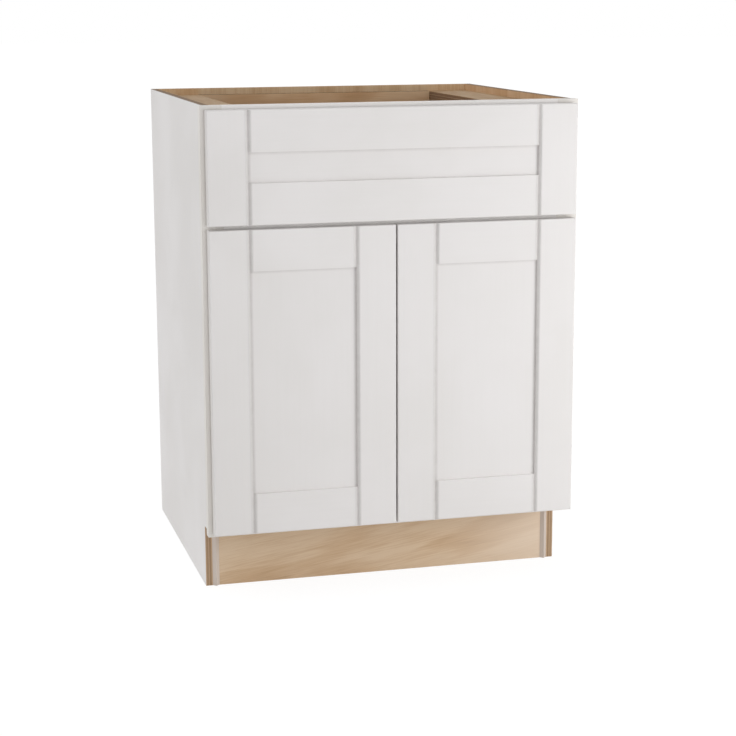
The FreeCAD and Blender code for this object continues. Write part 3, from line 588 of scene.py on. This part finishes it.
def paint_joint_shade(work, name):
    """Marks painted shade, a soft grey, along the joints of a door or drawer front, strongest in the
    groove's floor.
    """
    painted_shade_layer = work.verts.layers.float.new("painted_groove_shade")
    if "_door_" not in name and not name.startswith("drawer_front"):
        return
    is_panel = name.endswith("panel")
    reach = PANEL_SHADE_REACH if is_panel else SHADE_REACH
    joints = (OUTER_JOINT, INNER_JOINT) if "_door_" in name else (OUTER_JOINT,)
    for joint in joints:
        for sign in (-1, 1):
            for offset in (-reach, 0.0, reach) if is_panel else (-reach, reach):
                cut_across(work, "x", sign * joint + offset)
    for vert in work.verts:
        aside = min(abs(abs(vert.co.x) - joint) for joint in joints)
        on_face = vert.co.y < GROOVE_FLOOR_Y
        if aside < NEAR and (is_panel or on_face):
            vert[painted_shade_layer] = 1.0
        elif on_face and not is_panel and aside < GROOVE_HALF_WIDTH + NEAR:
            vert[painted_shade_layer] = GROOVE_WALL_SHADE
    # Painted shade along a panel's top, under the rail that holds it
    if is_panel:
        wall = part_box(name)[1].z - PANEL_TONGUE
        for offset in (0.0, -PANEL_SHADE_REACH):
            cut_across(work, "z", wall + offset)
        for vert in work.verts:
            if abs(vert.co.z - wall) < NEAR:
                vert[painted_shade_layer] = max(vert[painted_shade_layer], PANEL_TOP_SHADE)


def is_narrow(face):
    return face.calc_area() < NARROW_WIDTH * max(edge.calc_length() for edge in face.edges)


def blends_on_board(edge):
    """Flat faces stay flat, and only the narrow faces of eased or rounded edges blend into each other."""
    angle = math.degrees(edge.calc_face_angle(0.0))
    narrow = all(is_narrow(face) for face in edge.link_faces)
    return angle < LEVEL_DEGREES or (narrow and angle < BLENDED_DEGREES)


def mark_corners(faces, layer):
    for face in faces:
        for loop in face.loops:
            loop[layer] = 1.0


def board(name, along, through, material, ease, slot, outer_side, shift, ends, slant):
    """Eases a board's edges and records, at each point, where it lies along, across and through it."""
    work = merged_copy(name)
    paint_joint_shade(work, name)
    sharp = sharp_edges(work, BOARD_CORNER)
    eased_layer = work.loops.layers.float.new("eased")
    end_layer = work.loops.layers.float.new("end_grain")
    mark_corners(ease_edges(work, sharp, ease), eased_layer)
    along_axis, through_axis = AXES[along], AXES[through]
    across_axis = along_axis.cross(through_axis)
    if ends:
        facing = [face for face in work.faces if abs(face.normal.dot(along_axis)) > END_FACING]
        mark_corners(facing, end_layer)
    low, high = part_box(name)
    start = low.dot(through_axis) if outer_side > 0 else -high.dot(through_axis)
    place_layer = work.verts.layers.float_vector.new("board")
    grain_axis = along_axis * math.cos(slant) + across_axis * math.sin(slant)
    side_axis = across_axis * math.cos(slant) - along_axis * math.sin(slant)
    for vert in work.verts:
        depth = outer_side * vert.co.dot(through_axis) - start
        vert[place_layer] = Vector((vert.co.dot(grain_axis) + shift, vert.co.dot(side_axis) + shift, depth))
    smooth_where(work, blends_on_board)
    stand_in(work, name, ".board", material, slot)


figure_start = 0.0


def boards(names, along, through, material, ease, slot, outer_side=1, ends=False, slant=0.0):
    """Boards of one kind. Each is cut from another stretch of the same figure."""
    global figure_start
    for name in names:
        figure_start += FIGURE_STEP
        board(name, along, through, material, ease, slot, outer_side, figure_start, ends, slant)


boards(["side_panel_left"], "z", "x", SIDE_PLY, SHEET_EASE, "side_ply")
boards(["side_panel_right"], "z", "x", SIDE_PLY, SHEET_EASE, "side_ply", outer_side=-1)
boards(["top_plank_left", "top_plank_right"], "y", "z", PLANK_PLY, SHEET_EASE, "birch_ply")
boards(["hanging_rail"], "x", "y", RAIL_PLY, SHEET_EASE, "birch_ply")
boards(["bottom_panel"], "x", "z", BOARD_PLY, SHEET_EASE, "birch_ply")
boards(["back_panel"], "z", "y", THIN_PLY, THIN_EASE, "birch_ply")
boards(["toe_board"], "x", "y", TOE_PLY, SHEET_EASE, "birch_ply", slant=TOE_GRAIN_SLANT)
boards(["shelf"], "x", "z", SHELF_PLY, SHELF_EASE, "birch_ply")
boards(["drawer_bottom"], "x", "z", THIN_PLY, THIN_EASE, "birch_ply")
boards(["drawer_side_left", "drawer_side_right"], "y", "x", BIRCH, SOLID_EASE, "solid_birch", ends=True)
boards(["drawer_box_front", "drawer_box_back"], "x", "y", BIRCH, SOLID_EASE, "solid_birch", ends=True)
boards(["frame_stile_left", "frame_stile_right"], "z", "y", SHADED_FRAME_PAINT, FRAME_EASE, "white_paint")
boards(["toe_strip_left", "toe_strip_right"], "z", "y", STRIP_PAINT, FRAME_EASE, "white_paint")
boards(["frame_top_rail", "frame_middle_rail", "frame_bottom_rail"], "x", "y", LIGHTENED_RAIL_PAINT, FRAME_EASE,
       "white_paint")
for side in ("left", "right"):
    door = side + "_door_"
    boards([door + "hinge_stile", door + "latch_stile", door + "panel"], "z", "y", PAINT, DOOR_EASE,
           "white_paint")
    boards([door + "top_rail", door + "bottom_rail"], "x", "y", PAINT, DOOR_EASE, "white_paint")
boards(["drawer_front_stile_left", "drawer_front_stile_right"], "z", "y", PAINT, DOOR_EASE, "white_paint")
boards(["drawer_front_top_rail", "drawer_front_bottom_rail", "drawer_front_panel"], "x", "y", PAINT,
       DOOR_EASE, "white_paint")


# Edges with less of an angle than these are part of a round face.
ROUND_STEP = math.radians(38.0)
TURNED_STEP = math.radians(35.0)
TURNED_STEPS = 24
CARCASS_HEAD_HEIGHT = 1.6 * MM
DRAWER_HEAD_HEIGHT = 2.2 * MM

# The hinges' cups, their flanges with an ear at either end, and the stub pins inside them
HINGE_HEIGHTS = (209.0 * MM, 576.0 * MM)
CUP_CENTRE_X = 311.6 * MM
CUP_STEPS = 48
CUP_RADIUS = 17.4 * MM
CUP_WALL = 1.17 * MM
CUP_DEPTH = 13.5 * MM
CUP_EDGE = 0.2 * MM
FLANGE_FACE_Y = -295.275 * MM
FLANGE_SCREW_OFFSET = 22.5 * MM
FLANGE_HEAD_RADIUS = 3.4 * MM
FLANGE_HEAD_HEIGHT = 0.6 * MM
FLANGE_THREAD_RADIUS = 1.8 * MM
FLANGE_THREAD_LENGTH = 11.0 * MM
EAR_RADIUS = 10.0 * MM
EAR_CENTRE = 18.0 * MM
EAR_STEPS = 14
EAR_THICKNESS = 1.0 * MM
EAR_DROP = 0.03 * MM
STUB_X = 318.07 * MM
STUB_Y = -298.875 * MM
STUB_RADIUS = 1.25 * MM
STUB_START = 2.3 * MM

# Profiles as shares of the piece's radius and height, from the middle outward
HEAD_PROFILE = ((0.66, 0.86), (0.86, 0.66), (0.97, 0.38), (1.0, 0.18), (0.98, 0.0))
PAD_PROFILE = ((0.35, 1.0), (0.6, 0.96), (0.8, 0.84), (0.93, 0.62), (1.0, 0.32), (1.0, 0.0))

# The corners of a cross recess's arms lie this many degrees off the arms' middles.
CROSS_CORNER = 15.0

# A thread's pitch and core as shares of its radius, and how much of the shank it covers
THREAD_PITCH = 0.75
THREAD_CORE = 0.72
THREAD_SHARE = 0.8


def hardware(name, material, ease, slot):
    """A steel or plastic piece with its edges eased. Its round faces blend, and its flat ones don't."""
    work = merged_copy(name)
    rims = set(ease_edges(work, sharp_edges(work, ROUND_STEP), ease))

    def blends(edge):
        alike = len({face in rims for face in edge.link_faces}) == 1
        return alike and edge.calc_face_angle(0.0) < ROUND_STEP

    smooth_where(work, blends)
    stand_in(work, name, ".eased", material, slot)


def loose_parts(work):
    """The separate closed parts of a mesh, as lists of points."""
    left = set(work.verts)
    while left:
        part, waiting = [], [left.pop()]
        while waiting:
            vert = waiting.pop()
            part.append(vert)
            for link in vert.link_edges:
                other = link.other_vert(vert)
                if other in left:
                    left.remove(other)
                    waiting.append(other)
        yield part


def part_boxes(name):
    """The low corner, the high corner and the points of each closed part of a node."""
    work = merged_copy(name)
    boxes = []
    for part in loose_parts(work):
        low = Vector([min(vert.co[axis] for vert in part) for axis in range(3)])
        high = Vector([max(vert.co[axis] for vert in part) for axis in range(3)])
        boxes.append((low, high, [vert.co.copy() for vert in part]))
    work.free()
    return sorted(boxes, key=lambda box: tuple(box[0]))


def move_ring(rim, ring):
    """Moves a ring of points, each in its own direction, to the radius and height that the ring gives."""
    for vert in rim:
        angle = math.atan2(vert.co.y, vert.co.x)
        radius, height = ring(angle)
        vert.co = (radius * math.cos(angle), radius * math.sin(angle), height)


def turn_up(work, rings, seat, outward, steps=TURNED_STEPS):
    """Turns a piece about its axis. Each ring gives, for an angle, a radius and a height above the seat."""
    start = bmesh.ops.create_circle(work, cap_ends=True, cap_tris=True, segments=steps, radius=1.0)
    verts = start["verts"]
    rim = [vert for vert in verts if vert.co.length > 0.5]
    for vert in verts:
        if vert not in rim:
            vert.co.z = rings[0](0.0)[1]
    move_ring(rim, rings[0])
    edges = [edge for edge in work.edges if edge.is_boundary and edge.verts[0] in rim]
    for ring in rings[1:]:
        added = bmesh.ops.extrude_edge_only(work, edges=edges)["geom"]
        rim = [item for item in added if isinstance(item, bmesh.types.BMVert)]
        edges = [edge for edge in work.edges if edge.is_boundary and edge.verts[0] in rim]
        move_ring(rim, ring)
        verts += rim
    bmesh.ops.contextual_create(work, geom=edges)
    stand = outward.to_track_quat("Z", "Y").to_matrix().to_4x4()
    bmesh.ops.transform(work, matrix=Matrix.Translation(seat) @ stand, verts=verts)


def circle(radius, height):
    return lambda angle: (radius, height)


def cross(reach, height, dome=0.0):
    """A ring in the shape of a cross with straight arms, its middle higher than its tips by dome."""
    width = reach * math.tan(math.radians(CROSS_CORNER))

    def outline(angle):
        folded = abs((angle + math.pi / 4) % (math.pi / 2) - math.pi / 4)
        if folded < math.radians(CROSS_CORNER + 0.1):
            radius = reach / math.cos(folded)
        else:
            radius = width / math.sin(folded)
        return radius, height - dome * (radius / reach) ** 2

    return outline


def head_rings(radius, height):
    """A pan head with a cross recess, from the recess's floor out over the dome to the seat."""
    rings = [cross(0.3 * radius, 0.15 * height), cross(0.55 * radius, 0.93 * height, 0.06 * height)]
    return rings + [circle(share * radius, level * height) for share, level in HEAD_PROFILE]


def thread_rings(radius, length):
    """A wood screw's thread as a stack of crests, with its point."""
    pitch = THREAD_PITCH * radius
    core = THREAD_CORE * radius
    rings = [circle(0.8 * radius, -0.02 * length)]
    for turn in range(int(THREAD_SHARE * length / pitch)):
        low = -0.1 * length - pitch * turn
        rings += [circle(core, low), circle(radius, low - 0.4 * pitch), circle(core, low - 0.8 * pitch)]
    return rings + [circle(0.12 * radius, -length)]


def end_radius(points, axis, level, middle):
    """How far a part reaches from its own axis at one of its ends."""
    reach = 0.0
    for point in points:
        if abs(point[axis] - level) < 0.2 * MM:
            aside = point - middle
            aside[axis] = 0.0
            reach = max(reach, aside.length)
    return reach


def blend_turned(work):
    bmesh.ops.recalc_face_normals(work, faces=work.faces)
    smooth_where(work, lambda edge: edge.calc_face_angle(0.0) < TURNED_STEP)


def screws(name, head_height):
    """Turned cross-head screws in the places of the plain ones."""
    work = bmesh.new()
    for low, high, points in part_boxes(name):
        middle, size = (low + high) / 2, high - low
        axis = max(range(3), key=lambda index: size[index])
        ends = [end_radius(points, axis, level, middle) for level in (low[axis], high[axis])]
        side = 1.0 if ends[1] > ends[0] else -1.0
        outward = Vector([side if index == axis else 0.0 for index in range(3)])
        seat = middle + outward * (size[axis] / 2 - head_height)
        rings = head_rings(max(ends), head_height) + thread_rings(min(ends), size[axis] - head_height)
        turn_up(work, rings, seat, outward)
    blend_turned(work)
    stand_in(work, name, ".turned", NICKEL, "steel")


def bumpers(name):
    """Domed clear pads in the places of the plain discs."""
    work = bmesh.new()
    for low, high, points in part_boxes(name):
        radius, height = (high.z - low.z) / 2, high.y - low.y
        seat = Vector(((low.x + high.x) / 2, low.y, (low.z + high.z) / 2))
        rings = [circle(share * radius, level * height) for share, level in PAD_PROFILE]
        turn_up(work, rings, seat, AXES["y"])
    blend_turned(work)
    stand_in(work, name, ".domed", CLEAR_PAD, "clear_bumper")


def flange_screws(side):
    """The two oval-headed screws that hold each hinge cup's flange to the back of its door."""
    work = bmesh.new()
    toward = -1.0 if side == "left" else 1.0
    rings = head_rings(FLANGE_HEAD_RADIUS, FLANGE_HEAD_HEIGHT)
    rings += thread_rings(FLANGE_THREAD_RADIUS, FLANGE_THREAD_LENGTH)
    for hinge_z in HINGE_HEIGHTS:
        for offset in (-FLANGE_SCREW_OFFSET, FLANGE_SCREW_OFFSET):
            seat = Vector((toward * CUP_CENTRE_X, FLANGE_FACE_Y, hinge_z + offset))
            turn_up(work, rings, seat, AXES["y"])
    blend_turned(work)
    link_mesh(work, side + "_door_flange_screws", NICKEL, side + "_door", "steel")


def cup_rings():
    """A cup's profile, from the middle of its floor up the inside, over the rim and down the outside."""
    inner, floor_level = CUP_RADIUS - CUP_WALL, CUP_WALL - CUP_DEPTH
    return [
        circle(0.5 * inner, floor_level),
        circle(inner - 2 * CUP_EDGE, floor_level),
        circle(inner - 0.6 * CUP_EDGE, floor_level + 0.6 * CUP_EDGE),
        circle(inner, floor_level + 2 * CUP_EDGE),
        circle(inner, -1.5 * CUP_EDGE),
        circle(inner + 0.5 * CUP_EDGE, -0.4 * CUP_EDGE),
        circle(inner + 1.5 * CUP_EDGE, 0.0),
        circle(CUP_RADIUS - CUP_EDGE, 0.0),
        circle(CUP_RADIUS, -CUP_EDGE),
        circle(CUP_RADIUS, 3 * CUP_EDGE - CUP_DEPTH),
        circle(CUP_RADIUS - CUP_EDGE, CUP_EDGE - CUP_DEPTH),
        circle(CUP_RADIUS - 3 * CUP_EDGE, -CUP_DEPTH),
    ]


def flange_ear(work, centre_x, hinge_z, way):
    """One end of a cup's flange, from inside the cup's wall out to its rounded end."""
    root_radius = CUP_RADIUS - CUP_WALL / 2
    corner = math.acos(EAR_RADIUS / root_radius)
    outline = []
    for step in range(EAR_STEPS + 1):
        angle = math.pi * step / EAR_STEPS
        outline.append((EAR_RADIUS * math.cos(angle), EAR_CENTRE + EAR_RADIUS * math.sin(angle)))
    for step in range(EAR_STEPS + 1):
        angle = math.pi - corner - (math.pi - 2 * corner) * step / EAR_STEPS
        outline.append((root_radius * math.cos(angle), root_radius * math.sin(angle)))
    low_y = FLANGE_FACE_Y - EAR_THICKNESS
    verts = [work.verts.new((centre_x + x, low_y, hinge_z + way * z)) for x, z in outline]
    low_face = work.faces.new(verts)
    raised = bmesh.ops.extrude_face_region(work, geom=[low_face], use_keep_orig=True)["geom"]
    top_verts = [item for item in raised if isinstance(item, bmesh.types.BMVert)]
    top_face = [item for item in raised if isinstance(item, bmesh.types.BMFace)][0]
    bmesh.ops.translate(work, vec=AXES["y"] * (EAR_THICKNESS - EAR_DROP), verts=top_verts)
    ease_edges(work, top_face.edges[:], CUP_EDGE)


def hinge_cups(side):
    """The two cups of a door's hinges, each with its flange and the two stub pins for the inner link."""
    work = bmesh.new()
    toward = -1.0 if side == "left" else 1.0
    wall_z = math.sqrt((CUP_RADIUS - CUP_WALL / 2) ** 2 - (STUB_X - CUP_CENTRE_X) ** 2)
    length = wall_z - STUB_START
    stub_rings = [circle(0.7 * STUB_RADIUS, length), circle(STUB_RADIUS, length - CUP_EDGE),
                  circle(STUB_RADIUS, 0.0)]
    for hinge_z in HINGE_HEIGHTS:
        rim = Vector((toward * CUP_CENTRE_X, FLANGE_FACE_Y, hinge_z))
        turn_up(work, cup_rings(), rim, AXES["y"], CUP_STEPS)
        for way in (-1, 1):
            flange_ear(work, toward * CUP_CENTRE_X, hinge_z, way)
            stub_seat = Vector((toward * STUB_X, STUB_Y, hinge_z + way * wall_z))
            turn_up(work, stub_rings, stub_seat, -way * AXES["z"])
    blend_turned(work)
    stand_in(work, "hinge_cups_" + side, ".turned", NICKEL, "steel")


for side in ("left", "right"):
    for piece in ("cabinet_rail", "middle_rail", "drawer_rail"):
        hardware("slide_" + piece + "_" + side, ZINC, SLIDE_EASE, "steel")
    for piece in ("arms", "outer_links", "inner_links"):
        hardware("hinge_" + piece + "_" + side, NICKEL, HINGE_EASE, "steel")
    hinge_cups(side)
    hardware("slide_bracket_" + side, GREY_PLASTIC, PLASTIC_EASE, "grey_plastic")
    hardware("drawer_clip_" + side, GREY_PLASTIC, PLASTIC_EASE, "grey_plastic")
    bumpers(side + "_door_bumpers")
    flange_screws(side)
hardware("shelf_pins", NICKEL, PIN_EASE, "steel")
bumpers("drawer_bumpers")
screws("carcass_screws", CARCASS_HEAD_HEIGHT)
screws("drawer_screws", DRAWER_HEAD_HEIGHT)


FLOOR_REACH = 40.0
FLOOR_BOUNCE = (0.82, 0.82, 0.82, 1.0)
FLOOR_SEEN = (0.17, 0.17, 0.17, 1.0)
FLOOR_GLOW = 0.9
SKY_ALL_ROUND = 0.19
SKY_SIDES = (  # axis, direction along it, and light that comes from there on top of SKY_ALL_ROUND
    (0, -1.0, 0.61),
    (0, 1.0, 0.12),
    (1, 1.0, 0.32),
    (2, 1.0, 0.4),
)
LAMPS = (  # name, place, aim, size and watts
    ("key", (1.5, -1.45, 0.58), (0.2, -0.3, 0.45), 0.9, 11.3),
    ("fill", (0.3, -4.6, 0.67), (0.0, -0.3, 0.67), 1.4, 15.0),
)
CAMERA_AT = (-0.874, -3.4079, 1.0581)
CAMERA_YAW = math.radians(14.853)
CAMERA_PITCH = math.radians(11.446)
CAMERA_ROLL = math.radians(-0.232)
CAMERA_LENS = 89.91
CAMERA_SENSOR = 36.0
CAMERA_FAR = 200.0


def seen_directly(tree):
    """1 for a ray from the camera, from a reflection or through a clear piece, and 0 for any other."""
    path = put(tree, "LightPath").outputs
    seen = maths(tree, "MAXIMUM", path["Is Camera Ray"], path["Is Glossy Ray"])
    return maths(tree, "MAXIMUM", seen, path["Is Transmission Ray"])


def floor():
    """A pale floor that looks white, and throws back light as a light grey one does."""
    work = bmesh.new()
    bmesh.ops.create_grid(work, x_segments=1, y_segments=1, size=FLOOR_REACH)
    mesh = bpy.data.meshes.new("floor")
    work.to_mesh(mesh)
    work.free()
    made, tree = empty_material("pale floor")
    seen = seen_directly(tree)
    tint = blend_colors(tree, seen, FLOOR_BOUNCE, FLOOR_SEEN)
    lit = put(tree, "BsdfDiffuse", {"Color": tint}).outputs[0]
    glow = put(tree, "Emission", {"Strength": maths(tree, "MULTIPLY", seen, FLOOR_GLOW)}).outputs[0]
    mix = put(tree, "AddShader", {0: lit, 1: glow}).outputs[0]
    put(tree, "OutputMaterial", {"Surface": mix})
    mesh.materials.append(made)
    plane = bpy.data.objects.new("floor", mesh)
    bpy.context.scene.collection.objects.link(plane)


def sky():
    """A white background, which lights the cabinet unevenly from its sides."""
    world = bpy.data.worlds.new("studio")
    bpy.context.scene.world = world
    world.use_nodes = True
    tree = world.node_tree
    tree.nodes.clear()
    seen = seen_directly(tree)
    way = put(tree, "SeparateXYZ", {0: put(tree, "TexCoord").outputs["Generated"]}).outputs
    level = SKY_ALL_ROUND
    for axis, toward, extra in SKY_SIDES:
        level = maths(tree, "ADD", level, ramp(tree, way[axis], 0.0, toward, 0.0, extra))
    soft = put(tree, "Background", {"Color": (1.0, 1.0, 1.0, 1.0), "Strength": level}).outputs[0]
    white = put(tree, "Background", {"Color": (1.0, 1.0, 1.0, 1.0), "Strength": 1.0}).outputs[0]
    mix = put(tree, "MixShader", {0: seen, 1: soft, 2: white}).outputs[0]
    put(tree, "OutputWorld", {"Surface": mix})


def lamp(name, stands_at, aim, size, watts):
    light = bpy.data.lights.new(name, "AREA")
    light.shape = "SQUARE"
    light.size = size
    light.energy = watts
    made = bpy.data.objects.new(name, light)
    made.location = stands_at
    made.rotation_euler = (Vector(aim) - Vector(stands_at)).to_track_quat("-Z", "Y").to_euler()
    bpy.context.scene.collection.objects.link(made)


def camera():
    """Stands where the photograph was taken from: 15 degrees to the left of the front, looking down."""
    data = bpy.data.cameras.new("camera")
    data.lens = CAMERA_LENS
    data.sensor_width = CAMERA_SENSOR
    data.clip_end = CAMERA_FAR
    made = bpy.data.objects.new("camera", data)
    level = math.cos(CAMERA_PITCH)
    ahead = Vector((math.sin(CAMERA_YAW) * level, math.cos(CAMERA_YAW) * level, -math.sin(CAMERA_PITCH)))
    turn = ahead.to_track_quat("-Z", "Y").to_matrix() @ Matrix.Rotation(CAMERA_ROLL, 3, "Z")
    made.location = CAMERA_AT
    made.rotation_euler = turn.to_euler()
    bpy.context.scene.collection.objects.link(made)
    bpy.context.scene.camera = made


floor()
sky()
for row in LAMPS:
    lamp(*row)
camera()
bpy.context.scene.view_settings.view_transform = "Standard"
